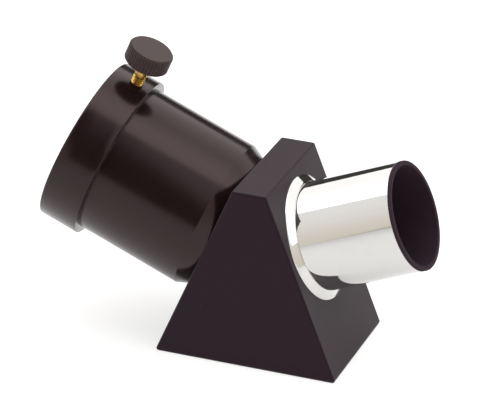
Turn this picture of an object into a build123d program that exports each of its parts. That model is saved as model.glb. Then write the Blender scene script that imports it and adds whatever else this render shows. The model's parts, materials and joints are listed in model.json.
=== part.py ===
from build123d import *

import math
import os

# A 45 degree erecting prism diagonal for a refractor telescope.
#
# A chromed 0.965 inch nosepiece slides into the telescope's focuser.  A roof prism in a
# wedge-shaped housing turns the light through 45 degrees and sets the image upright.  A
# 1.25 inch eyepiece drops into the black holder and is clamped by a thumbscrew.
#
# All lengths are in millimetres.  +Z is up and the base rests on z = 0.  The origin is the
# middle of the base, both optical axes lie in the XZ plane, +X is the telescope's side and
# -X is the eyepiece's side.  Each sub-part is one STEP file in parts/.

# ---------------------------------------------------------------- driving dimensions
# Prism.  Its apex angle is what turns the light by 45 degrees, so it is fixed by optics.
apex_angle = 45.0
axis_from_apex = 11.2  # along a polished face, from the sharp apex to the optical axis
prism_width = 23.0
prism_apex_cut = 1.8  # height ground off the sharp apex
prism_edge_bevel = 0.3

# Housing.
face_wall = 5.9  # wall that carries the nosepiece or the holder
side_wall = 3.55
top_land = 7.8  # length of the flat on top
apex_gap = 0.8  # free height above the prism
edge_round = 0.5
base_round = 0.6
aperture_radius = 9.2  # light hole behind each thread
thread_depth = 4.7

# What holds the prism.
strip_thickness = 0.5  # spacers that keep an air gap at the polished faces
strip_width = 1.6
strip_edge_gap = 0.2  # from a strip to the prism's side
strip_top = 3.2  # along the face, from the sharp apex to a strip's end
side_pad_thickness = 1.0
side_pad_inset = 0.6
side_pad_top = 5.0  # below the sharp apex
pad_clearance = 0.1
cradle_web = 1.1
cradle_clearance = 0.25
roof_relief = 0.7
roof_land_width = 2.3  # where the cradle touches the roof faces, outside the light
spring_thickness = 0.3
spring_width = 8.0
spring_length = 20.0
spring_rise = 0.9

# Base plate and its screws.
plate_thickness = 2.2
plate_rim = 2.0  # housing left round the plate, along X at z = 0
plate_side_rim = 2.3
plate_corner = 2.0
plate_clearance = 0.1
screw_radius = 1.0
screw_head_radius = 1.8
screw_head_recess = 0.1
screw_length = 6.2
screw_tip_chamfer = 0.4
screw_slot_width = 0.5
screw_slot_depth = 0.45
screw_from_plate_end = 3.2
screw_from_plate_side = 4.1
screw_clearance = 0.05
screw_hole_extra_depth = 0.8

# Nosepiece.
nose_radius = 12.25
nose_reach = 24.5  # from the housing to the tip, lip included
nose_wall = 0.4
nose_thread_radius = 11.0
nose_thread_wall = 1.3
flange_step = 1.95  # its rim, beyond the tube
flange_land = 0.25  # height of its straight rim, at the housing
flange_thickness = 1.4  # with the cone that runs from the rim to the tube
flange_cone_step = 0.2  # left between the cone's top and the tube
liner_wall = 0.65
liner_lip = 0.7
liner_lip_round = 0.2
liner_clearance = 0.03
liner_seat = 1.0  # from the housing to the liner's inner end

# Eyepiece holder.
socket_radius = 15.925
socket_depth = 32.4
tube_wall = 1.5
collar_wall = 3.2
collar_length = 9.3
holder_reach = 37.6
cone_length = 3.5
cone_drop = 1.6
holder_thread_radius = 13.0
holder_thread_wall = 1.4
eyepiece_stop_step = 3.2
collar_chamfer = 0.35
socket_chamfer = 0.5

# Threads between the housing and what screws into it.
barrel_pitch = 0.75
barrel_thread_height = 0.4
thread_clearance = 0.05
spigot_length = 4.5
thread_runout = 0.1  # plain length between the thread and the housing's face

# Thumbscrew.  Distances along it are measured from the holder's axis.
thumb_setback = 5.65  # from the holder's mouth to the screw's axis
thumb_radius = 1.5
thumb_pitch = 0.5
thumb_thread_height = 0.27
thumb_clearance = 0.05
tip_radius = 1.2
tip_thickness = 0.8
tip_stem_radius = 0.6
tip_stem_length = 1.2
tip_clearance = 0.05
tip_setback = 0.05  # behind the socket's wall when backed off
exposed_thread = 2.6
neck_length = 2.4
knob_radius = 5.1
knob_height = 4.1
knob_chamfer = 0.35
knurl_count = 45
knurl_depth = 0.3
knob_insert_radius = 2.6
knob_insert_height = 1.5
knob_insert_cover = 1.2  # plastic between the insert and the knob's underside

# ---------------------------------------------------------------- what follows from them
flange_radius = nose_radius + flange_step
half = math.radians(apex_angle / 2)
tan_half, sin_half, cos_half = math.tan(half), math.sin(half), math.cos(half)

cradle_bottom = plate_thickness + spring_rise + spring_thickness
roof_edge_z = cradle_bottom + cradle_web + roof_relief
prism_apex_z = roof_edge_z + axis_from_apex / sin_half
prism_top_z = prism_apex_z - prism_apex_cut
roof_shoulder_z = roof_edge_z + prism_width / 2  # where the 45 degree roof meets the sides
cradle_top = roof_shoulder_z - 2 * prism_edge_bevel
prism_inset = face_wall + strip_thickness

outer_apex_z = prism_apex_z + prism_inset / sin_half
cavity_apex_z = outer_apex_z - face_wall / sin_half
housing_height = outer_apex_z - top_land / 2 / tan_half
cavity_top_z = prism_top_z + apex_gap
cavity_half_width = prism_width / 2 + side_pad_thickness + pad_clearance
housing_width = 2 * (cavity_half_width + side_wall)

axis_along_face = axis_from_apex + prism_inset / tan_half
axis_x = axis_along_face * sin_half
axis_z = outer_apex_z - axis_along_face * cos_half

# Local frames: Z points out along each optical axis from the housing's outer face, and
# X is horizontal, along the row's Y.
nose_frame = Plane(origin=(axis_x, 0, axis_z), x_dir=(0, 1, 0), z_dir=(cos_half, 0, sin_half))
holder_frame = Plane(
    origin=(-axis_x, 0, axis_z), x_dir=(0, 1, 0), z_dir=(-cos_half, 0, sin_half)
)

plate_half_length = outer_apex_z * tan_half - plate_rim
plate_half_width = housing_width / 2 - plate_side_rim
screw_x = plate_half_length - screw_from_plate_end
screw_y = plate_half_width - screw_from_plate_side

tube_radius = socket_radius + tube_wall
collar_radius = socket_radius + collar_wall
collar_start = holder_reach - collar_length
shoulder_at = holder_reach - socket_depth
cone_end_radius = tube_radius - cone_drop

thumb_at = holder_reach - thumb_setback
thumb_origin = holder_frame.from_local_coords(Vector(0, 0, thumb_at))
thumb_frame = Plane(
    origin=thumb_origin, x_dir=(-cos_half, 0, sin_half), z_dir=(sin_half, 0, cos_half)
)
tip_face = socket_radius + tip_setback
shank_start = tip_face + tip_thickness
thread_end = collar_radius + exposed_thread
knob_bottom = thread_end + neck_length

# ---------------------------------------------------------------- shared shapes


def turned(*outline):
    """A solid of revolution about local Z, from (radius, height) points."""
    face = make_face(Plane.XZ * Polyline(*outline, close=True))
    return revolve(face, axis=Axis.Z)


def disc(radius, low, high):
    """A cylinder about local Z between two heights."""
    return Pos(0, 0, low) * Cylinder(
        radius, high - low, align=(Align.CENTER, Align.CENTER, Align.MIN)
    )


def wedge(apex_z, low, high, width):
    """The housing's wedge shape under a sharp apex, between two heights, across Y."""
    low_half, high_half = (apex_z - low) * tan_half, (apex_z - high) * tan_half
    outline = Polyline(
        (-low_half, low), (low_half, low), (high_half, high), (-high_half, high), close=True
    )
    return extrude(make_face(Plane.XZ * outline), width / 2, both=True)


def vee(low):
    """A right-angled V along X, open upwards from a lowest line at height low."""
    reach = prism_width
    outline = Polyline((0, low), (reach, low + reach), (-reach, low + reach), close=True)
    return extrude(Plane.YZ * make_face(outline), outer_apex_z, both=True)


def ridges(radius, height, pitch, low, high):
    """Outline points of thread ridges of one pitch each, from low to high."""
    count = int((high - low) / pitch)
    points = []
    for turn in range(count):
        start = low + turn * pitch
        points += [(radius - height, start), (radius, start + pitch / 2)]
    return points + [(radius - height, low + count * pitch)]


# ---------------------------------------------------------------- housing group


def make_prism_housing():
    """The one-piece body: two threaded faces, a wedge cavity and an open base."""
    body = wedge(outer_apex_z, 0, housing_height, housing_width)
    floor_edges = body.edges().group_by(Axis.Z)[0]
    body = fillet(floor_edges, base_round)
    upper_edges = [e for e in body.edges() if e.center().Z > base_round * 1.5]
    body = fillet(upper_edges, edge_round)
    body -= wedge(cavity_apex_z, -1, cavity_top_z, 2 * cavity_half_width)
    body -= plate_blank(plate_half_length, plate_half_width, -1, plate_thickness)
    for frame, radius in (
        (nose_frame, nose_thread_radius),
        (holder_frame, holder_thread_radius),
    ):
        body -= frame.location * disc(radius + thread_clearance, -thread_depth, 1)
        body -= frame.location * disc(aperture_radius, -face_wall - 1, 0)
    hole_top = screw_length + screw_hole_extra_depth
    for x, y in screw_places():
        body -= Pos(x, y, 0) * disc(screw_radius + screw_clearance, 0, hole_top)
    return body


def plate_blank(half_length, half_width, low, high):
    """A rounded rectangle from low to high."""
    outline = RectangleRounded(2 * half_length, 2 * half_width, plate_corner)
    return extrude(Pos(0, 0, low) * outline, high - low)


def screw_places():
    """The four base screws, front left first and then round the plate."""
    return [(-screw_x, -screw_y), (screw_x, -screw_y), (screw_x, screw_y), (-screw_x, screw_y)]


def make_base_plate():
    """The cover that closes the cavity, with countersunk holes."""
    plate = plate_blank(
        plate_half_length - plate_clearance,
        plate_half_width - plate_clearance,
        0,
        plate_thickness,
    )
    sink = screw_head_radius + screw_head_recess + screw_clearance
    for x, y in screw_places():
        hole = disc(screw_radius + 2 * screw_clearance, -1, plate_thickness + 1)
        cone = turned((0, -1), (sink + 1, -1), (0, sink))
        plate -= Pos(x, y, 0) * (hole + cone)
    return plate


def make_base_screw(x, y):
    """A slotted countersunk screw, head down."""
    head_base = screw_head_recess
    sink = screw_head_radius - screw_radius
    screw = turned(
        (0, head_base),
        (screw_head_radius, head_base),
        (screw_radius, head_base + sink),
        (screw_radius, screw_length - screw_tip_chamfer),
        (screw_radius - screw_tip_chamfer, screw_length),
        (0, screw_length),
    )
    slot = Pos(0, 0, head_base) * Box(
        4 * screw_head_radius, screw_slot_width, 2 * screw_slot_depth
    )
    return Pos(x, y, 0) * (screw - slot)


def make_roof_prism():
    """The glass: a 45 degree wedge whose base is a 90 degree roof."""
    glass = wedge(prism_apex_z, roof_edge_z, prism_top_z, prism_width)
    glass &= vee(roof_edge_z)
    side_edges = glass.edges().filter_by(
        lambda e: abs(abs(e.center().Y) - prism_width / 2) < 1e-3
    )
    return chamfer(side_edges, prism_edge_bevel)


def make_prism_cradle():
    """A V-block that carries the roof on two narrow lands, clear of the light."""
    block = wedge(
        cavity_apex_z - cradle_clearance / sin_half,
        cradle_bottom,
        cradle_top,
        2 * (cavity_half_width - pad_clearance),
    )
    relief_width = prism_width - 2 * roof_land_width
    channel = Box(2 * outer_apex_z, relief_width, 2 * outer_apex_z)
    return block - vee(roof_edge_z) - (vee(roof_edge_z - roof_relief) & channel)


def make_leaf_spring():
    """A bowed strip that lifts the cradle, so the prism seats in its wedge."""
    reach = spring_length / 2
    low, crown = plate_thickness, plate_thickness + spring_rise
    outline = (
        ThreePointArc((-reach, low), (0, crown), (reach, low))
        + Line((reach, low), (reach, low + spring_thickness))
        + ThreePointArc(
            (reach, low + spring_thickness),
            (0, crown + spring_thickness),
            (-reach, low + spring_thickness),
        )
        + Line((-reach, low + spring_thickness), (-reach, low))
    )
    return extrude(make_face(Plane.XZ * outline), spring_width / 2, both=True)


def make_side_pad(side):
    """A cork sheet between a ground side of the prism and the housing."""
    low = roof_shoulder_z + side_pad_inset
    high = prism_apex_z - side_pad_top
    sheet = wedge(prism_apex_z - side_pad_inset / sin_half, low, high, side_pad_thickness)
    return Pos(0, side * (prism_width + side_pad_thickness) / 2, 0) * sheet


def make_spacer_strip(frame, side):
    """A strip between a polished face and the housing, beside the light."""
    strip_end = (prism_apex_z - cradle_top) / cos_half - 2 * strip_edge_gap
    from_axis_top = axis_from_apex - strip_top
    from_axis_end = axis_from_apex - strip_end
    length = from_axis_top - from_axis_end
    y = side * (prism_width / 2 - prism_edge_bevel - strip_edge_gap - strip_width / 2)
    centre = (y, (from_axis_top + from_axis_end) / 2, -face_wall - strip_thickness / 2)
    up_sign = 1 if frame.y_dir.Z > 0 else -1
    local = Pos(centre[0], up_sign * centre[1], centre[2])
    return frame.location * local * Box(strip_width, length, strip_thickness)


# ---------------------------------------------------------------- nosepiece


def make_nosepiece_barrel():
    """The chromed tube, its conical flange and its threaded spigot."""
    spigot_bore = nose_thread_radius - nose_thread_wall
    lip_at = nose_reach - liner_lip
    return nose_frame.location * turned(
        (spigot_bore, -spigot_length),
        *ridges(
            nose_thread_radius,
            barrel_thread_height,
            barrel_pitch,
            -spigot_length,
            -thread_runout,
        ),
        (nose_thread_radius - barrel_thread_height, 0),
        (flange_radius, 0),
        (flange_radius, flange_land),
        (nose_radius + flange_cone_step, flange_thickness),
        (nose_radius, flange_thickness),
        (nose_radius, lip_at),
        (nose_radius - nose_wall, lip_at),
        (nose_radius - nose_wall, liner_seat),
        (spigot_bore, liner_seat),
    )


def make_nosepiece_liner():
    """The matt black inner tube, whose lip covers the chromed tube's end."""
    outer = nose_radius - nose_wall - liner_clearance
    lip_at = nose_reach - liner_lip
    liner = turned(
        (outer - liner_wall, liner_seat),
        (outer, liner_seat),
        (outer, lip_at),
        (nose_radius, lip_at),
        (nose_radius, nose_reach),
        (outer - liner_wall, nose_reach),
    )
    rims = liner.edges().filter_by(
        lambda e: e.geom_type == GeomType.CIRCLE and abs(e.center().Z - nose_reach) < 1e-3
    )
    return nose_frame.location * fillet(rims, liner_lip_round)


# ---------------------------------------------------------------- eyepiece holder


def make_eyepiece_holder():
    """The black tube with its collar, cone, eyepiece stop and threaded spigot."""
    stop_radius = socket_radius - eyepiece_stop_step
    spigot_bore = holder_thread_radius - holder_thread_wall
    holder = turned(
        (spigot_bore, -spigot_length),
        *ridges(
            holder_thread_radius,
            barrel_thread_height,
            barrel_pitch,
            -spigot_length,
            -thread_runout,
        ),
        (holder_thread_radius - barrel_thread_height, 0),
        (cone_end_radius, 0),
        (tube_radius, cone_length),
        (tube_radius, collar_start),
        (collar_radius - collar_chamfer, collar_start),
        (collar_radius, collar_start + collar_chamfer),
        (collar_radius, holder_reach - collar_chamfer),
        (collar_radius - collar_chamfer, holder_reach),
        (socket_radius + socket_chamfer, holder_reach),
        (socket_radius, holder_reach - socket_chamfer),
        (socket_radius, shoulder_at),
        (stop_radius, shoulder_at),
        (spigot_bore, 0),
    )
    hole = disc(thumb_radius + thumb_clearance, 0, collar_radius + 1)
    return holder_frame.location * holder - thumb_frame.location * hole


# ---------------------------------------------------------------- thumbscrew


def make_thumbscrew_shank():
    """The brass screw: socketed tip, thread, plain neck and the insert in the knob."""
    insert_low = knob_bottom + knob_insert_cover
    insert_high = insert_low + knob_insert_height
    socket_top = shank_start + tip_stem_length + tip_clearance
    socket_wall = tip_stem_radius + tip_clearance
    shank = turned(
        (socket_wall, shank_start),
        *ridges(thumb_radius, thumb_thread_height, thumb_pitch, shank_start, thread_end),
        (thumb_radius, thread_end),
        (thumb_radius, insert_low),
        (knob_insert_radius, insert_low),
        (knob_insert_radius, insert_high),
        (0, insert_high),
        (0, socket_top),
        (socket_wall, socket_top),
    )
    return thumb_frame.location * shank


def make_thumbscrew_knob():
    """The black knob with straight knurling, moulded round the brass insert."""
    top = knob_bottom + knob_height
    knob = turned(
        (thumb_radius, knob_bottom),
        (knob_radius - knob_chamfer, knob_bottom),
        (knob_radius, knob_bottom + knob_chamfer),
        (knob_radius, top - knob_chamfer),
        (knob_radius - knob_chamfer, top),
        (0, top),
        (0, knob_bottom + knob_insert_cover + knob_insert_height),
        (knob_insert_radius, knob_bottom + knob_insert_cover + knob_insert_height),
        (knob_insert_radius, knob_bottom + knob_insert_cover),
        (thumb_radius, knob_bottom + knob_insert_cover),
    )
    groove = Pos(knob_radius, 0, knob_bottom + knob_height / 2) * (
        Rot(0, 0, 45)
        * Box(math.sqrt(2) * knurl_depth, math.sqrt(2) * knurl_depth, 2 * knob_height)
    )
    for turn in range(knurl_count):
        knob -= Rot(0, 0, turn * 360 / knurl_count) * groove
    return thumb_frame.location * knob


def make_thumbscrew_tip():
    """The nylon button that meets the eyepiece and doesn't turn with the screw."""
    tip = turned(
        (0, tip_face),
        (tip_radius, tip_face),
        (tip_radius, shank_start - tip_clearance),
        (tip_stem_radius, shank_start - tip_clearance),
        (tip_stem_radius, shank_start + tip_stem_length),
        (0, shank_start + tip_stem_length),
    )
    return thumb_frame.location * tip


# ---------------------------------------------------------------- the whole diagonal


def make_parts():
    """Every sub-part by its node name."""
    parts = {
        "prism_housing": make_prism_housing(),
        "base_plate": make_base_plate(),
        "roof_prism": make_roof_prism(),
        "prism_cradle": make_prism_cradle(),
        "leaf_spring": make_leaf_spring(),
        "nosepiece_barrel": make_nosepiece_barrel(),
        "nosepiece_liner": make_nosepiece_liner(),
        "eyepiece_holder": make_eyepiece_holder(),
        "thumbscrew_shank": make_thumbscrew_shank(),
        "thumbscrew_knob": make_thumbscrew_knob(),
        "thumbscrew_tip": make_thumbscrew_tip(),
    }
    for number, (x, y) in enumerate(screw_places(), start=1):
        parts[f"base_screw_{number}"] = make_base_screw(x, y)
    for side, word in ((-1, "front"), (1, "back")):
        parts[f"side_pad_{word}"] = make_side_pad(side)
        parts[f"nose_spacer_{word}"] = make_spacer_strip(nose_frame, side)
        parts[f"holder_spacer_{word}"] = make_spacer_strip(holder_frame, side)
    return parts


os.makedirs("parts", exist_ok=True)
for name, shape in make_parts().items():
    export_step(shape, f"parts/{name}.step")
print(f"housing {2 * outer_apex_z * tan_half:.2f} long, {housing_width:.2f} wide,", end=" ")
print(f"{housing_height:.2f} high, axes at x {axis_x:.3f}, z {axis_z:.3f}")
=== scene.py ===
import json
import math

import bmesh
import bpy
import numpy as np
from mathutils import Matrix, Vector

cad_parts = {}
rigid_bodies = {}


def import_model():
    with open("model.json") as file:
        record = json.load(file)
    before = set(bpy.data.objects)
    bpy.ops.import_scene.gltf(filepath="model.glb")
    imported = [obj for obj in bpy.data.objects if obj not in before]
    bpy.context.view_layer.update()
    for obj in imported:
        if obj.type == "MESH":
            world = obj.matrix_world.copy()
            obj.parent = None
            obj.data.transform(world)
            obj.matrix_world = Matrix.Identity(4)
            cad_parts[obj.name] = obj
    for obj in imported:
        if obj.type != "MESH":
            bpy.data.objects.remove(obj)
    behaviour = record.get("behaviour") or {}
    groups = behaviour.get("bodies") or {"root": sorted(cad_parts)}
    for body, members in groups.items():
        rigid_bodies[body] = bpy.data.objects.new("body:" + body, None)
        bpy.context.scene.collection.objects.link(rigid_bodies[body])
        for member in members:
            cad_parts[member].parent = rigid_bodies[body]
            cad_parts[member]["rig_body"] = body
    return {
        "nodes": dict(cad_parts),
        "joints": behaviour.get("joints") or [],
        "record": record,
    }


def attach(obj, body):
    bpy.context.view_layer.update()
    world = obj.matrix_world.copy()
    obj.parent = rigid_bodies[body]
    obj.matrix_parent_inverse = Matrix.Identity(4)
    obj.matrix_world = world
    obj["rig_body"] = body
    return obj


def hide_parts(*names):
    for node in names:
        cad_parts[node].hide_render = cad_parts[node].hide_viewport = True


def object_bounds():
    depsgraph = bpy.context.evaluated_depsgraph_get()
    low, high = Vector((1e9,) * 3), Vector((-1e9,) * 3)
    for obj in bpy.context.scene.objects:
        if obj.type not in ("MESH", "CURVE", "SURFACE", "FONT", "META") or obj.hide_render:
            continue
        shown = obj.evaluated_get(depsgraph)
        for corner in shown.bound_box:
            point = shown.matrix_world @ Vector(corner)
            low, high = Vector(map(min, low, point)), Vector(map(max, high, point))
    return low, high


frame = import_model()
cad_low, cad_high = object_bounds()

bl_info = {
    "name": "Erecting Prism Diagonal",
    "version": (1, 0, 0),
    "blender": (4, 5, 0),
    "location": "View3D > Sidebar > Diagonal",
    "description": "Finishes a 45 degree erecting prism diagonal around its packed CAD model",
    "category": "Add Mesh",
}

MM = 0.001
FLOOR_REACH = 8.0  # from the middle of the paper to its edges
SOFTBOX_SIDES = (1.5, 1.15)
SOFTBOX_PLACE = (0.25, 0.425, 0.42)
SOFTBOX_COLOUR = (1.0, 0.99, 0.975)
CEILING = (1.25, 1.25, 1.25, 1)
DARKEST = 0.06  # of the room's light, behind and in the gap ahead
TINY = 0.02 * MM  # closer than this, two CAD sizes are the same
SLACK = 0.001 * MM  # keeps a turned piece inside the node that it stands for

# ---------------------------------------------------------------- reading the CAD frame


def mount(name):
    """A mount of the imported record."""
    return next(m for m in frame["record"]["mounts"] if m["name"] == name)


def joint(name):
    """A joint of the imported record."""
    return next(j for j in frame["joints"] if j["name"] == name)


def upright(origin, axis):
    """A frame at origin with Z along axis and Y as near to straight up as it can be."""
    z = Vector(axis).normalized()
    y = (Vector((0, 0, 1)) - z * z.z).normalized()
    x = y.cross(z)
    turn = Matrix((x, y, z)).transposed().to_4x4()
    return Matrix.Translation(Vector(origin)) @ turn


class Gauge:
    """Heights and radii of one turned CAD node, measured in a frame on its axis."""

    def __init__(self, node, place):
        inverse = np.array(place.inverted())
        points = np.array([v.co[:] for v in frame["nodes"][node].data.vertices])
        local = points @ inverse[:3, :3].T + inverse[:3, 3]
        self.heights = local[:, 2]
        self.radii = np.hypot(local[:, 0], local[:, 1])
        self.low = float(self.heights.min())
        self.high = float(self.heights.max())

    def _between(self, low, high):
        return self.radii[(self.heights > low) & (self.heights < high)]

    def widest(self, low=-math.inf, high=math.inf):
        """The largest radius between two heights."""
        return float(self._between(low, high).max()) - SLACK

    def narrowest(self, low=-math.inf, high=math.inf):
        """The smallest radius between two heights."""
        return float(self._between(low, high).min())

    def first_beyond(self, radius):
        """The lowest height at which the node is wider than radius."""
        return float(self.heights[self.radii > radius].min())

    def last_at(self, radius):
        """The greatest height at which a ring has this radius."""
        return float(self.heights[abs(self.radii - radius) < TINY / 4].max())


def face_frame(mount_name):
    """The frame on a mount's axis whose origin lies on the housing's outer face."""
    at = mount(mount_name)
    start = upright(at["pos_m"], at["axis"])
    return start @ Matrix.Translation((0, 0, Gauge("prism_housing", start).high))


NOSE = face_frame("nosepiece")
HOLDER = face_frame("eyepiece_socket")
SCREW = upright(joint("thumbscrew_turn")["pos_m"], -Vector(joint("thumbscrew_turn")["axis"]))
SCREW_PITCH = 2 * math.pi / frame["record"]["behaviour"]["couplings"][0]["ratio"]

# ---------------------------------------------------------------- mesh building


def round_corners(bm, corners, radius, segments=4):
    """Turns corner vertices of a wire outline into arcs."""
    bmesh.ops.bevel(
        bm,
        geom=corners,
        offset=radius,
        offset_type="OFFSET",
        affect="VERTICES",
        segments=segments,
        profile=0.5,
        material=-1,
    )


def turned(outline, steps, closed=True):
    """A bmesh of revolution about Z from (radius, height, corner rounding) points."""
    bm = bmesh.new()
    corners = [bm.verts.new((radius, 0, height)) for radius, height, _ in outline]
    following = corners[1:] + corners[:1] if closed else corners[1:]
    for pair in zip(corners, following):
        bm.edges.new(pair)
    for rounding in sorted({point[2] for point in outline} - {0}):
        chosen = [v for v, point in zip(corners, outline) if point[2] == rounding]
        round_corners(bm, chosen, rounding)
    bmesh.ops.spin(
        bm,
        geom=bm.verts[:] + bm.edges[:],
        cent=(0, 0, 0),
        axis=(0, 0, 1),
        angle=2 * math.pi,
        steps=steps,
        use_merge=True,
    )
    bmesh.ops.remove_doubles(bm, verts=bm.verts, dist=TINY / 100)
    bmesh.ops.recalc_face_normals(bm, faces=bm.faces)
    return bm


def ridges(crest, root, pitch, low, high):
    """Outline points of thread ridges of one pitch each, from low to high."""
    points = []
    for turn in range(int((high - low) / pitch)):
        start = low + turn * pitch
        points += [(root, start, 0), (crest, start + pitch / 2, 0)]
    return points


def helix(crest, root, pitch, low, high, steps):
    """A bmesh of one thread ridge that winds round Z from low to high."""
    bm = bmesh.new()
    sunk = root - 2 * TINY
    triangle = [
        bm.verts.new(place) for place in ((sunk, 0, 0), (crest, 0, pitch / 2), (sunk, 0, pitch))
    ]
    bmesh.ops.contextual_create(bm, geom=triangle)
    turns = (high - low) / pitch - 1
    count = round(turns * steps)
    bmesh.ops.translate(bm, vec=(0, 0, low), verts=bm.verts)
    start = bm.faces[:]
    edges = [e for f in start for e in f.edges]
    swept = bmesh.ops.spin(
        bm,
        geom=bm.verts[:] + edges,
        cent=(0, 0, 0),
        axis=(0, 0, 1),
        dvec=(0, 0, turns * pitch / count),
        angle=2 * math.pi * turns,
        steps=count,
    )
    last = [e for e in swept["geom_last"] if isinstance(e, bmesh.types.BMEdge)]
    bmesh.ops.contextual_create(bm, geom=last)
    bmesh.ops.recalc_face_normals(bm, faces=bm.faces)
    return bm


def joined(first, second):
    """Adds a second bmesh to the first one."""
    carrier = bpy.data.meshes.new("carrier")
    second.to_mesh(carrier)
    second.free()
    first.from_mesh(carrier)
    bpy.data.meshes.remove(carrier)
    return first


def new_piece(name, bm, place, material, node, sharp=30):
    """Makes a finished object of a bmesh, placed in its mesh, standing for a CAD node."""
    bmesh.ops.transform(bm, matrix=place, verts=bm.verts)
    for face in bm.faces:
        face.smooth = True
    mesh = bpy.data.meshes.new(name)
    bm.to_mesh(mesh)
    bm.free()
    mesh.set_sharp_from_angle(angle=math.radians(sharp))
    mesh.materials.append(material)
    piece = bpy.data.objects.new(name, mesh)
    bpy.context.scene.collection.objects.link(piece)
    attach(piece, frame["nodes"][node]["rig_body"])
    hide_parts(node)
    return piece


def refinish(node, material):
    """Gives a CAD node its finished material."""
    for slot in frame["nodes"][node].material_slots:
        slot.material = material


# ---------------------------------------------------------------- material building


class Value:
    """A socket of a finish, with arithmetic that adds Math nodes."""

    def __init__(self, finish, socket):
        self.finish = finish
        self.socket = socket

    def _math(self, operation, *terms):
        return self.finish.node("ShaderNodeMath", {"operation": operation}, dict(enumerate(terms)))

    def __add__(self, other):
        return self._math("ADD", self, other)

    def __radd__(self, other):
        return self._math("ADD", other, self)

    def __sub__(self, other):
        return self._math("SUBTRACT", self, other)

    def __rsub__(self, other):
        return self._math("SUBTRACT", other, self)

    def __mul__(self, other):
        return self._math("MULTIPLY", self, other)

    def __rmul__(self, other):
        return self._math("MULTIPLY", other, self)

    def size(self):
        """Its distance from zero."""
        return self._math("ABSOLUTE", self)

    def smooth(self, low, high):
        """0 below low, 1 above high and smooth between."""
        return self.finish.node(
            "ShaderNodeMapRange",
            {"interpolation_type": "SMOOTHSTEP"},
            {"Value": self, "From Min": low, "From Max": high},
        )


class Finish:
    """A procedural material on the piece's own coordinates."""

    def __init__(
        self, name, metallic=0.0, ior=1.5, tint=(1, 1, 1), sheen=0.0, transmission=0.0, glow=0.0
    ):
        self.material = bpy.data.materials.new(name)
        self.material.use_nodes = True
        self.tree = self.material.node_tree
        self.shader = self.tree.nodes["Principled BSDF"]
        for socket, value in (
            ("Metallic", metallic),
            ("IOR", ior),
            ("Specular Tint", (*tint, 1)),
            ("Sheen Weight", sheen),
            ("Transmission Weight", transmission),
            ("Emission Strength", glow),
        ):
            self.shader.inputs[socket].default_value = value
        self.place = self.node("ShaderNodeTexCoord", output="Object")

    def node(self, kind, settings=None, sockets=None, output=0):
        """A node of one kind: its settings first, then its sockets' values or links."""
        made = self.tree.nodes.new(kind)
        for key, value in (settings or {}).items():
            setattr(made, key, value)
        for key, value in (sockets or {}).items():
            if isinstance(value, Value):
                self.tree.links.new(value.socket, made.inputs[key])
            else:
                made.inputs[key].default_value = value
        return Value(self, made.outputs[output])

    def noise(self, size, detail=2.0, roughness=0.5, at=None):
        """Soft noise from 0 to 1 whose lumps are about size metres across."""
        return self.node(
            "ShaderNodeTexNoise",
            sockets={
                "Vector": at or self.place,
                "Scale": 1 / size,
                "Detail": detail,
                "Roughness": roughness,
            },
        )

    def cells(self, size, at=None):
        """Distance to the nearest cell point, for grain of about size metres."""
        return self.node(
            "ShaderNodeTexVoronoi", sockets={"Vector": at or self.place, "Scale": 1 / size}
        )

    def stretched(self, axis, factor):
        """Coordinates in which a pattern is factor times longer across axis than along it."""
        z = Vector(axis).normalized()
        turn = z.rotation_difference(Vector((0, 0, 1))).to_euler()
        turned_place = self.node(
            "ShaderNodeMapping", sockets={"Vector": self.place, "Rotation": turn}
        )
        return self.node(
            "ShaderNodeMapping",
            sockets={"Vector": turned_place, "Scale": (1 / factor, 1 / factor, 1)},
        )

    def edges(self, width, gain):
        """1 on edges and 0 on flats, from how far the normal turns within width."""
        bent = self.node("ShaderNodeBevel", {"samples": 6}, {"Radius": width})
        straight = self.node("ShaderNodeNewGeometry", output="Normal")
        match = self.node(
            "ShaderNodeVectorMath",
            {"operation": "DOT_PRODUCT"},
            {0: bent, 1: straight},
            output="Value",
        )
        return ((1 - match) * gain).smooth(0.0, 1.0)

    def blend(self, factor, first, second):
        """Mixes two colours."""
        return self.node(
            "ShaderNodeMix", {"data_type": "RGBA"}, {0: factor, 6: first, 7: second}, output=2
        )

    def bump(self, height, depth, over=None):
        """Sets the normal from a height of depth metres, and returns it to build on."""
        sockets = {"Height": height, "Distance": depth}
        if over:
            sockets["Normal"] = over
        made = self.node("ShaderNodeBump", sockets=sockets)
        self.feed("Normal", made)
        return made

    def feed(self, socket, value):
        """Sends a value to the shader."""
        self.tree.links.new(value.socket, self.shader.inputs[socket])


class Room(Finish):
    """The light that comes from all round, by direction."""

    def __init__(self, name):
        self.material = bpy.data.worlds.new(name)
        self.material.use_nodes = True
        self.tree = self.material.node_tree
        self.shader = self.tree.nodes["Background"]
        split = self.tree.nodes.new("ShaderNodeSeparateXYZ")
        place = self.node("ShaderNodeTexCoord", output="Generated")
        self.tree.links.new(place.socket, split.inputs[0])
        self.direction = [Value(self, socket) for socket in split.outputs]

    def scaled(self, colour, factor):
        """A colour times a number."""
        return self.node(
            "ShaderNodeVectorMath", {"operation": "SCALE"}, {0: colour, "Scale": factor}
        )

    def shine(self, colour):
        """Sends a colour to the background."""
        self.feed("Color", colour)


def shade(colour, factor):
    """A colour made lighter or darker, with full alpha."""
    return (*(channel * factor for channel in colour[:3]), 1.0)


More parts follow.
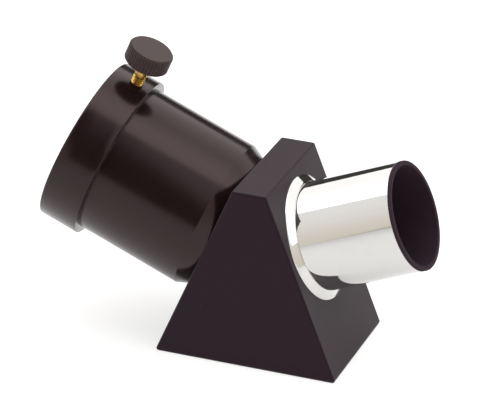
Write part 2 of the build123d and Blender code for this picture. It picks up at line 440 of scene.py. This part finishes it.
def moulded_plastic(name, colour, roughness, grain, depth, wear=0.35):
    """Black moulding with a fine spark-eroded skin that is rubbed smooth on its edges."""
    finish = Finish(name, ior=1.24, tint=(1.0, 0.78, 0.82), sheen=0.13)
    pits = finish.noise(grain, detail=3, roughness=0.6)
    fine = finish.cells(grain * 0.6)
    cloud = finish.noise(14 * MM, detail=3)
    rubbed = finish.edges(0.6 * MM, 3.0) * finish.noise(1.5 * MM).smooth(0.3, 0.7)
    dust = finish.noise(0.9 * MM, detail=4, roughness=0.7).smooth(0.62, 0.8)
    worn = finish.blend(cloud, shade(colour, 0.85), shade(colour, 1.2))
    worn = finish.blend(rubbed * wear, worn, shade(colour, 3.0))
    worn = finish.blend(dust * 0.12, worn, (0.2, 0.19, 0.18, 1))
    finish.feed("Base Color", worn)
    skin = roughness + (cloud - 0.5) * 0.12 - rubbed * 0.15
    finish.feed("Roughness", skin + (pits - 0.5) * 0.1)
    under = finish.bump(pits, depth)
    finish.bump(fine, depth * 0.5, over=under)
    return finish.material


def polished_chrome(name, colour, axis):
    """Bright chrome with faint polishing marks round the tube and a few fingerprints."""
    finish = Finish(name, metallic=1.0)
    rings = finish.noise(0.35 * MM, detail=2, at=finish.stretched(axis, 60))
    smear = finish.noise(6 * MM, detail=4, roughness=0.6).smooth(0.5, 0.75)
    scratch = finish.noise(0.12 * MM, detail=1, at=finish.stretched((0.2, 0.6, 0.75), 90))
    finish.feed("Base Color", finish.blend(smear * 0.35, shade(colour, 1.0), shade(colour, 0.9)))
    finish.feed("Roughness", 0.035 + rings * 0.02 + smear * 0.05)
    under = finish.bump(rings, 0.0006 * MM)
    finish.bump(scratch.smooth(0.68, 0.78), 0.0006 * MM, over=under)
    return finish.material


def flocked_black(name, colour):
    """Dead matt optical black, a little uneven where it was sprayed, with a painted highlight on its
    edges.
    """
    finish = Finish(name, ior=1.22)
    spray = finish.noise(0.25 * MM, detail=4, roughness=0.7)
    cloud = finish.noise(5 * MM, detail=2)
    # rim: the edges are painted lighter and made less rough, a painted highlight on the lining's lip
    rim = finish.edges(0.3 * MM, 2.5)
    tone = finish.blend(cloud, shade(colour, 0.8), shade(colour, 1.25))
    finish.feed("Base Color", finish.blend(rim * 0.6, tone, shade(colour, 2.2)))
    finish.feed("Roughness", 0.78 + (spray - 0.5) * 0.2 - rim * 0.2)
    finish.bump(spray, 0.012 * MM)
    return finish.material


def anodised_black(name, colour, axis):
    """Satin black anodised aluminium with turning marks and edges rubbed brighter."""
    finish = Finish(name, ior=1.42, tint=(1.0, 0.76, 0.78))
    lathe_marks = finish.noise(0.3 * MM, detail=1, at=finish.stretched(axis, 40))
    cloud = finish.noise(9 * MM, detail=3)
    rubbed = finish.edges(0.35 * MM, 3.0) * finish.noise(1.1 * MM).smooth(0.35, 0.65)
    dust = finish.noise(0.7 * MM, detail=4, roughness=0.75).smooth(0.64, 0.8)
    tone = finish.blend(cloud, shade(colour, 0.85), shade(colour, 1.2))
    tone = finish.blend(rubbed * 0.5, tone, (0.16, 0.155, 0.15, 1))
    tone = finish.blend(dust * 0.1, tone, (0.25, 0.24, 0.23, 1))
    finish.feed("Base Color", tone)
    finish.feed("Roughness", 0.2 + (cloud - 0.5) * 0.08 + (lathe_marks - 0.5) * 0.04 + dust * 0.08)
    finish.bump(lathe_marks, 0.0003 * MM)
    return finish.material


def turned_brass(name, colour, axis):
    """Bright turned brass with fine tool marks and a little tarnish in random patches."""
    finish = Finish(name, metallic=1.0)
    tool_marks = finish.noise(0.09 * MM, detail=2, at=finish.stretched(axis, 50))
    tarnish = finish.noise(1.2 * MM, detail=4, roughness=0.65).smooth(0.45, 0.8)
    finish.feed("Base Color", finish.blend(tarnish * 0.6, shade(colour, 1.0), shade(colour, 0.6)))
    finish.feed("Roughness", 0.2 + tool_marks * 0.1 + tarnish * 0.15)
    finish.bump(tool_marks, 0.0012 * MM)
    return finish.material


def blackened_steel(name, colour):
    """Chemically blackened steel, brighter where a driver has rubbed the slot."""
    finish = Finish(name, metallic=0.8)
    cloud = finish.noise(0.8 * MM, detail=4)
    rubbed = finish.edges(0.15 * MM, 3.0)
    finish.feed("Base Color", finish.blend(rubbed * 0.7, shade(colour, 1.0), (0.35, 0.34, 0.33, 1)))
    finish.feed("Roughness", 0.38 + (cloud - 0.5) * 0.2)
    finish.bump(cloud, 0.003 * MM)
    return finish.material


def spring_steel(name, colour, axis):
    """Rolled spring steel with grain along the strip."""
    finish = Finish(name, metallic=1.0)
    grain = finish.noise(0.1 * MM, detail=2, at=finish.stretched(axis, 0.03))
    finish.feed("Base Color", finish.blend(grain, shade(colour, 0.9), shade(colour, 1.1)))
    finish.feed("Roughness", 0.28 + grain * 0.12)
    finish.bump(grain, 0.001 * MM)
    return finish.material


def optical_glass(name, colour):
    """Polished crown glass with a trace of dust."""
    finish = Finish(name, ior=1.517, transmission=1.0)
    dust = finish.noise(0.5 * MM, detail=4, roughness=0.7).smooth(0.66, 0.85)
    finish.feed("Base Color", finish.blend(dust * 0.3, shade(colour, 1.0), (0.8, 0.8, 0.8, 1)))
    finish.feed("Roughness", 0.01 + dust * 0.2)
    return finish.material


def cork(name, colour):
    """Fine agglomerated cork."""
    finish = Finish(name, ior=1.4)
    crumbs = finish.cells(0.7 * MM)
    specks = finish.noise(0.3 * MM, detail=3).smooth(0.55, 0.75)
    tone = finish.blend(crumbs, shade(colour, 1.2), shade(colour, 0.7))
    finish.feed("Base Color", finish.blend(specks * 0.6, tone, shade(colour, 0.35)))
    finish.feed("Roughness", 0.85 + (crumbs - 0.5) * 0.1)
    finish.bump(crumbs, 0.05 * MM)
    return finish.material


def nylon(name, colour):
    """Natural nylon, slightly waxy."""
    finish = Finish(name, ior=1.53)
    finish.shader.inputs["Subsurface Weight"].default_value = 0.2
    finish.shader.inputs["Subsurface Radius"].default_value = (0.0006, 0.0005, 0.0004)
    cloud = finish.noise(0.6 * MM, detail=3)
    finish.feed("Base Color", finish.blend(cloud, shade(colour, 0.92), shade(colour, 1.05)))
    finish.feed("Roughness", 0.4 + (cloud - 0.5) * 0.15)
    finish.bump(cloud, 0.006 * MM)
    return finish.material


def black_paper(name, colour):
    """Black spacer paper with visible fibre."""
    finish = Finish(name, ior=1.4)
    fibre = finish.noise(0.15 * MM, detail=4, roughness=0.7)
    finish.feed("Base Color", finish.blend(fibre, shade(colour, 0.7), shade(colour, 1.5)))
    finish.feed("Roughness", 0.8 + (fibre - 0.5) * 0.15)
    finish.bump(fibre, 0.02 * MM)
    return finish.material


def studio_paper(name, colour):
    """The pale seamless paper that the object stands on."""
    finish = Finish(name, ior=1.3, glow=0.64)
    tooth = finish.noise(1.5 * MM, detail=3)
    finish.feed("Base Color", finish.blend(tooth, shade(colour, 0.995), shade(colour, 1.0)))
    finish.feed("Roughness", 0.9 + (tooth - 0.5) * 0.05)
    finish.shader.inputs["Emission Color"].default_value = shade((1, 1, 1), 1.0)
    return finish.material


# ---------------------------------------------------------------- what a user may change


def size(name, description, default):
    """A length property."""
    return bpy.props.FloatProperty(
        name=name, description=description, default=default, min=0.0, unit="LENGTH", precision=5
    )


def tint(name, description, default):
    """A colour property."""
    return bpy.props.FloatVectorProperty(
        name=name, description=description, default=default, size=3, min=0.0, max=1.0, subtype="COLOR"
    )


def count(name, description, default, least):
    """A whole-number property."""
    return bpy.props.IntProperty(name=name, description=description, default=default, min=least)


class NosepieceSettings(bpy.types.PropertyGroup):
    """Sizes and colours of the chromed nosepiece."""

    steps: count("Facets", "Facets round the tube", 192, 24)
    flange_rounding: size("Flange rounding", "Rounding of the flange's rims", 0.3 * MM)
    lip_rounding: size("Lip rounding", "Rounding of the liner's lip", 0.21 * MM)
    chrome: tint("Chrome", "Colour of the chrome", (0.6, 0.59, 0.58))
    lining: tint("Lining", "Colour of the matt black lining", (0.026, 0.014, 0.022))


class HolderSettings(bpy.types.PropertyGroup):
    """Sizes and colours of the eyepiece holder."""

    steps: count("Facets", "Facets round the tube", 192, 48)
    edge_break: size("Edge break", "Rounding of the collar's rim at the mouth", 0.45 * MM)
    step_break: size("Step break", "Rounding of the collar's rim at the tube", 0.12 * MM)
    mouth_chamfer: size("Mouth chamfer", "Lead-in at the socket's mouth", 0.5 * MM)
    cone_rounding: size("Cone rounding", "Rounding where the cone meets the tube", 0.08 * MM)
    anodising: tint("Anodising", "Colour of the anodised tube", (0.009, 0.004, 0.0045))


class ThumbscrewSettings(bpy.types.PropertyGroup):
    """Sizes and colours of the thumbscrew."""

    ribs: count("Ribs", "Straight ribs round the knob", 45, 8)
    rib_depth: size("Rib depth", "Depth of the hollows between ribs", 0.28 * MM)
    rim: size("Rim", "Chamfer on the knob's rims", 0.35 * MM)
    brass: tint("Brass", "Colour of the screw", (0.57, 0.36, 0.1))
    knob: tint("Knob", "Colour of the knob", (0.036, 0.022, 0.022))
    nylon: tint("Tip", "Colour of the nylon tip", (0.8, 0.78, 0.72))


class HousingSettings(bpy.types.PropertyGroup):
    """Finish of the housing, its cover and what it holds."""

    grain: size("Grain", "Size of the moulded grain", 0.3 * MM)
    grain_depth: size("Grain depth", "Depth of the moulded grain", 0.012 * MM)
    black: tint("Black", "Colour of the housing", (0.009, 0.002, 0.007))
    glass: tint("Glass", "Colour of the prism", (0.97, 0.99, 0.98))


class StageSettings(bpy.types.PropertyGroup):
    """Camera, lights and floor."""

    azimuth: bpy.props.FloatProperty(
        name="Azimuth", description="Camera's turn from the front", default=math.radians(19.6),
        subtype="ANGLE",
    )
    elevation: bpy.props.FloatProperty(
        name="Elevation", description="Camera's height above the horizon",
        default=math.radians(24.75), subtype="ANGLE",
    )
    roll: bpy.props.FloatProperty(
        name="Roll", description="Camera's tilt about its view", default=math.radians(1.45),
        subtype="ANGLE",
    )
    distance: size("Distance", "From the camera to what it looks at", 761.2 * MM)
    aim: bpy.props.FloatVectorProperty(
        name="Aim", description="Where the camera looks, from the middle of the part's box",
        default=(0.979 * MM, 2.871 * MM, -2.856 * MM), size=3, subtype="TRANSLATION", precision=5,
    )
    lens: bpy.props.FloatProperty(
        name="Lens", description="Focal length in millimetres", default=247.25, min=1.0
    )
    paper: tint("Paper", "Colour of the floor", (0.46, 0.46, 0.46))
    overhead: bpy.props.FloatProperty(
        name="Overhead light", description="Power of the softbox", default=8.6, min=0.0, unit="POWER"
    )
    room: tint("Room", "Colour of the light from the room", (1.0, 0.93, 0.82))


class DiagonalSettings(bpy.types.PropertyGroup):
    """Everything that can be changed on the diagonal."""

    nosepiece: bpy.props.PointerProperty(type=NosepieceSettings)
    holder: bpy.props.PointerProperty(type=HolderSettings)
    thumbscrew: bpy.props.PointerProperty(type=ThumbscrewSettings)
    housing: bpy.props.PointerProperty(type=HousingSettings)
    stage: bpy.props.PointerProperty(type=StageSettings)


# ---------------------------------------------------------------- operators


class DIAGONAL_OT_nosepiece(bpy.types.Operator):
    """Build the chromed nosepiece and its matt black lining"""

    bl_idname = "diagonal.nosepiece"
    bl_label = "Nosepiece"
    bl_options = {"REGISTER", "UNDO"}

    def execute(self, context):
        settings = context.scene.diagonal.nosepiece
        at = mount("nosepiece")
        tube = at["dims"]["r_mm"] * MM
        barrel = Gauge("nosepiece_barrel", NOSE)
        liner = Gauge("nosepiece_liner", NOSE)
        lip_at = barrel.high
        flange = barrel.widest()
        land = barrel.last_at(flange)
        plain = (barrel.heights > land + TINY) & (abs(barrel.radii - tube) < TINY)
        flange_top = float(barrel.heights[plain].min())
        cone_top = barrel.widest(flange_top - TINY, flange_top + TINY)
        thread = barrel.widest(high=-TINY)
        root = barrel.widest(high=barrel.low + TINY)
        spigot_bore = barrel.narrowest()
        wall = barrel.narrowest(low=flange_top - TINY)
        seat = liner.low
        pitch = 0.75 * MM
        bm = turned(
            [
                (spigot_bore, barrel.low, 0),
                *ridges(thread, root, pitch, barrel.low, -TINY),
                (root, 0, 0),
                (flange, 0, 0),
                (flange, land, settings.flange_rounding),
                (cone_top, flange_top, settings.flange_rounding),
                (tube, flange_top, 0.08 * MM),
                (tube, lip_at, 0.04 * MM),
                (wall, lip_at, 0),
                (wall, seat, 0),
                (spigot_bore, seat, 0),
            ],
            settings.steps,
        )
        chrome = polished_chrome("polished_chrome", settings.chrome, at["axis"])
        new_piece("nosepiece_tube", bm, NOSE, chrome, "nosepiece_barrel")
        inner, outer = liner.narrowest(), liner.widest(high=seat + TINY)
        bm = turned(
            [
                (inner, seat, 0),
                (outer, seat, 0),
                (outer, lip_at, 0),
                (tube, lip_at, 0),
                (tube, liner.high, settings.lip_rounding),
                (inner, liner.high, settings.lip_rounding),
            ],
            settings.steps,
        )
        lining = flocked_black("optical_black", settings.lining)
        new_piece("nosepiece_lining", bm, NOSE, lining, "nosepiece_liner")
        return {"FINISHED"}


def drilled(bm, wall_outside, wall_inside, height, radius, half_width, half_height):
    """Opens a round hole along Y through a turned wall, at a height and above the axis."""
    rims = []
    for wall in (wall_outside, wall_inside):
        patch = [
            face
            for face in bm.faces
            if abs(math.hypot(*face.calc_center_median().xy) - wall) < 5 * TINY
            and abs(face.calc_center_median().z - height) < half_height
            and abs(face.calc_center_median().x) < half_width
            and face.calc_center_median().y > 0
        ]
        border = [e for f in patch for e in f.edges if sum(o in patch for o in e.link_faces) == 1]
        bmesh.ops.delete(bm, geom=patch, context="FACES")
        ring = bmesh.ops.create_circle(
            bm,
            segments=len(border),
            radius=radius,
            matrix=Matrix.Translation((0, wall, height)) @ Matrix.Rotation(math.pi / 2, 4, "X"),
        )["verts"]
        for vert in ring:
            vert.co.y = math.sqrt(wall**2 - vert.co.x**2)
        rim = list({e for v in ring for e in v.link_edges})
        bmesh.ops.bridge_loops(bm, edges=border + rim)
        rims += rim
    bmesh.ops.bridge_loops(bm, edges=rims)
    bmesh.ops.recalc_face_normals(bm, faces=bm.faces)


class DIAGONAL_OT_holder(bpy.types.Operator):
    """Build the black eyepiece holder with its collar, cone, threaded spigot and plain screw hole"""

    bl_idname = "diagonal.holder"
    bl_label = "Eyepiece holder"
    bl_options = {"REGISTER", "UNDO"}

    def execute(self, context):
        settings = context.scene.diagonal.holder
        at = mount("eyepiece_socket")
        socket = at["dims"]["r_mm"] * MM
        cad = Gauge("eyepiece_holder", HOLDER)
        middle = (HOLDER.inverted() @ Vector(at["pos_m"])).z
        shoulder = middle - at["dims"]["length_mm"] * MM / 2
        tube = cad.widest(low=0, high=middle)
        cone_end = cad.widest(low=-TINY, high=TINY)
        cone_top = cad.first_beyond(tube - TINY)
        collar_low = cad.first_beyond(tube + TINY)
        collar = cad.widest()
        mouth = cad.high
        stop = cad.narrowest(low=shoulder - TINY, high=middle)
        thread = cad.widest(high=-TINY)
        root = cad.widest(high=cad.low + TINY)
        spigot_bore = cad.narrowest()
        screw_at = (HOLDER.inverted() @ SCREW.translation).z
        hole = Gauge("thumbscrew_shank", SCREW).widest(high=-TINY) + 0.05 * MM
        steps = settings.steps
        column = 2 * math.pi / steps
        half_height = hole * 1.45
        bands = [screw_at + half_height * share for share in (-1, -1 / 3, 1 / 3, 1)]
        bm = turned(
            [
                (spigot_bore, cad.low, 0),
                *ridges(thread, root, 0.75 * MM, cad.low, -TINY),
                (root, 0, 0),
                (cone_end, 0, 0),
                (tube, cone_top, settings.cone_rounding),
                (tube, collar_low, 0),
                (collar, collar_low, settings.step_break),
                *[(collar, height, 0) for height in bands],
                (collar, mouth, settings.edge_break),
                (socket, mouth, settings.mouth_chamfer),
                *[(socket, height, 0) for height in reversed(bands)],
                (socket, shoulder, 0),
                (stop, shoulder, 0.08 * MM),
                (spigot_bore, 0, 0),
            ],
            steps,
        )
        drilled(bm, collar, socket, screw_at, hole, 4 * column * socket, half_height)
        anodised = anodised_black("satin_anodising", settings.anodising, at["axis"])
        new_piece("eyepiece_tube", bm, HOLDER, anodised, "eyepiece_holder")
        return {"FINISHED"}


class DIAGONAL_OT_thumbscrew(bpy.types.Operator):
    """Build the brass screw with its thread, the ribbed knob and the nylon tip's finish"""

    bl_idname = "diagonal.thumbscrew"
    bl_label = "Thumbscrew"
    bl_options = {"REGISTER", "UNDO"}

    def execute(self, context):
        settings = context.scene.diagonal.thumbscrew
        axis = SCREW.to_3x3().col[2]
        shank = Gauge("thumbscrew_shank", SCREW)
        grip = Gauge("thumbscrew_knob", SCREW)
        crest = shank.widest(high=-TINY)
        root = shank.widest(high=shank.low + TINY)
        socket = shank.narrowest(low=shank.low - TINY, high=shank.low + TINY)
        socket_top = shank.last_at(socket)
        thread_top = shank.last_at(root)
        insert_low = shank.first_beyond(crest + TINY)
        insert = shank.widest()
        bm = turned(
            [
                (0, socket_top, 0),
                (socket, socket_top, 0),
                (socket, shank.low, 0),
                (root, shank.low, 0.1 * MM),
                (root, thread_top, 0),
                (crest, thread_top + (crest - root), 0),
                (crest, insert_low, 0),
                (insert, insert_low, 0),
                (insert, shank.high, 0),
                (0, shank.high, 0),
            ],
            96,
            closed=False,
        )
        thread = helix(crest, root, SCREW_PITCH, shank.low, thread_top, 48)
        brass = turned_brass("bright_brass", settings.brass, axis)
        bm = joined(bm, thread)
        new_piece("thumbscrew_screw", bm, SCREW, brass, "thumbscrew_shank")
        knob = grip.widest()
        bm = turned(
            [
                (0, shank.high, 0),
                (insert, shank.high, 0),
                (insert, insert_low, 0),
                (crest, insert_low, 0),
                (crest, grip.low, 0),
                (knob - settings.rim, grip.low, 0),
                (knob, grip.low + settings.rim, 0),
                (knob, grip.high - settings.rim, 0),
                (knob - settings.rim, grip.high, 0),
                (0, grip.high, 0),
            ],
            settings.ribs * 6,
            closed=False,
        )
        self.cut_ribs(bm, knob, settings)
        plastic = moulded_plastic("knob_plastic", settings.knob, 0.42, 0.2 * MM, 0.004 * MM)
        new_piece(
            "thumbscrew_grip", bm, SCREW, plastic, "thumbscrew_knob", sharp=40
        )
        refinish("thumbscrew_tip", nylon("natural_nylon", settings.nylon))
        return {"FINISHED"}

    @staticmethod
    def cut_ribs(bm, knob, settings):
        """Pushes every sixth column of the knob's wall in, and its neighbours half as far."""
        columns = settings.ribs * 6
        for depth, spots in ((1.0, (0,)), (0.45, (1, 5))):
            chosen = [
                v
                for v in bm.verts
                if math.hypot(v.co.x, v.co.y) > knob - TINY
                and round(math.atan2(v.co.y, v.co.x) / (2 * math.pi) * columns) % 6 in spots
            ]
            ratio = 1 - settings.rib_depth * depth / knob
            bmesh.ops.scale(bm, vec=(ratio, ratio, 1), verts=chosen)


class DIAGONAL_OT_housing(bpy.types.Operator):
    """Finish the moulded housing, its cover and the cover's screws"""

    bl_idname = "diagonal.housing"
    bl_label = "Housing and cover"
    bl_options = {"REGISTER", "UNDO"}

    def execute(self, context):
        settings = context.scene.diagonal.housing
        grain, depth = settings.grain, settings.grain_depth
        refinish(
            "prism_housing",
            moulded_plastic("housing_moulding", settings.black, 0.5, grain, depth),
        )
        refinish(
            "base_plate",
            moulded_plastic("cover_moulding", settings.black, 0.56, grain * 1.3, depth, wear=0.6),
        )
        steel = blackened_steel("blackened_steel", (0.06, 0.058, 0.056))
        for node in frame["nodes"]:
            if node.startswith("base_screw"):
                refinish(node, steel)
        return {"FINISHED"}


class DIAGONAL_OT_optics(bpy.types.Operator):
    """Finish the prism and what holds it"""

    bl_idname = "diagonal.optics"
    bl_label = "Prism and its supports"
    bl_options = {"REGISTER", "UNDO"}

    def execute(self, context):
        settings = context.scene.diagonal.housing
        refinish("roof_prism", optical_glass("crown_glass", settings.glass))
        refinish(
            "prism_cradle",
            moulded_plastic("cradle_moulding", settings.black, 0.6, 0.3 * MM, 0.01 * MM),
        )
        refinish("leaf_spring", spring_steel("rolled_steel", (0.56, 0.55, 0.54), (1, 0, 0)))
        pad = cork("cork_sheet", (0.42, 0.28, 0.17))
        paper = black_paper("spacer_paper", (0.02, 0.02, 0.02))
        for node in frame["nodes"]:
            if node.startswith("side_pad"):
                refinish(node, pad)
            elif "spacer" in node:
                refinish(node, paper)
        return {"FINISHED"}


class DIAGONAL_OT_stage(bpy.types.Operator):
    """Lay the pale floor and set the lights and the camera"""

    bl_idname = "diagonal.stage"
    bl_label = "Stage"
    bl_options = {"REGISTER", "UNDO"}

    def execute(self, context):
        settings = context.scene.diagonal.stage
        self.lay_floor(context, settings)
        self.hang_softbox(context, settings)
        self.light_room(context, settings)
        self.place_camera(context, settings)
        context.scene.view_settings.view_transform = "Standard"
        return {"FINISHED"}

    @staticmethod
    def lay_floor(context, settings):
        """A sheet of paper large enough to fill the view from any side."""
        bm = bmesh.new()
        bmesh.ops.create_grid(bm, x_segments=4, y_segments=4, size=FLOOR_REACH)
        bmesh.ops.translate(bm, vec=(0, 0, cad_low.z), verts=bm.verts)
        mesh = bpy.data.meshes.new("floor_paper")
        bm.to_mesh(mesh)
        bm.free()
        mesh.materials.append(studio_paper("studio_paper", settings.paper))
        floor = bpy.data.objects.new("floor_paper", mesh)
        context.scene.collection.objects.link(floor)

    @staticmethod
    def hang_softbox(context, settings):
        """One broad soft light overhead, further back than forward."""
        light = bpy.data.lights.new("overhead_softbox", "AREA")
        light.shape = "RECTANGLE"
        light.size, light.size_y = SOFTBOX_SIDES
        light.energy = settings.overhead
        light.color = SOFTBOX_COLOUR
        softbox = bpy.data.objects.new("overhead_softbox", light)
        softbox.location = SOFTBOX_PLACE
        context.scene.collection.objects.link(softbox)

    @staticmethod
    def light_room(context, settings):
        """A warm room that is dark behind, with one dark gap straight ahead."""
        room = Room("studio_room")
        across, depth, height = room.direction
        ahead = -1 * depth
        beside = (across + 0.03).size().smooth(0.16, 0.25)
        gap = (1 - beside) * ahead.smooth(0.05, 0.4)
        lit = ahead.smooth(-0.45, 0.1) * (1 - gap)
        walls = room.blend(height.smooth(0.0, 0.9), shade(settings.room, 1.0), CEILING)
        room.shine(room.scaled(walls, lit * (1 - DARKEST) + DARKEST))
        context.scene.world = room.material

    @staticmethod
    def place_camera(context, settings):
        """A long lens from the front right, a little above."""
        turn = Matrix.Rotation(settings.azimuth, 4, "Z")
        tip = Matrix.Rotation(math.pi / 2 - settings.elevation, 4, "X")
        roll = Matrix.Rotation(settings.roll, 4, "Z")
        aim = (cad_low + cad_high) / 2 + Vector(settings.aim)
        back = Matrix.Translation((0, 0, settings.distance))
        camera = bpy.data.cameras.new("camera")
        camera.lens = settings.lens
        camera.sensor_width = 36.0
        camera.clip_start = 0.01
        camera.clip_end = 20.0
        stand = bpy.data.objects.new("camera", camera)
        stand.matrix_world = Matrix.Translation(aim) @ turn @ tip @ roll @ back
        context.scene.collection.objects.link(stand)
        context.scene.camera = stand


class DIAGONAL_PT_panel(bpy.types.Panel):
    """The diagonal's settings and operators"""

    bl_idname = "DIAGONAL_PT_panel"
    bl_label = "Erecting Prism Diagonal"
    bl_space_type = "VIEW_3D"
    bl_region_type = "UI"
    bl_category = "Diagonal"

    def draw(self, context):
        settings = context.scene.diagonal
        groups = {
            "nosepiece": ["diagonal.nosepiece"],
            "holder": ["diagonal.holder"],
            "thumbscrew": ["diagonal.thumbscrew"],
            "housing": ["diagonal.housing", "diagonal.optics"],
            "stage": ["diagonal.stage"],
        }
        for group, operators in groups.items():
            box = self.layout.box()
            chosen = getattr(settings, group)
            for name in chosen.__annotations__:
                box.prop(chosen, name)
            for operator in operators:
                box.operator(operator)


CLASSES = (
    NosepieceSettings,
    HolderSettings,
    ThumbscrewSettings,
    HousingSettings,
    StageSettings,
    DiagonalSettings,
    DIAGONAL_OT_nosepiece,
    DIAGONAL_OT_holder,
    DIAGONAL_OT_thumbscrew,
    DIAGONAL_OT_housing,
    DIAGONAL_OT_optics,
    DIAGONAL_OT_stage,
    DIAGONAL_PT_panel,
)


def register():
    """Adds the classes and the scene's settings."""
    for made in CLASSES:
        bpy.utils.register_class(made)
    bpy.types.Scene.diagonal = bpy.props.PointerProperty(type=DiagonalSettings)


def unregister():
    """Removes what register added."""
    del bpy.types.Scene.diagonal
    for made in reversed(CLASSES):
        bpy.utils.unregister_class(made)


def main():
    """Builds everything in order."""
    register()
    bpy.ops.diagonal.nosepiece()
    bpy.ops.diagonal.holder()
    bpy.ops.diagonal.thumbscrew()
    bpy.ops.diagonal.housing()
    bpy.ops.diagonal.optics()
    bpy.ops.diagonal.stage()


if __name__ == "__main__":
    main()
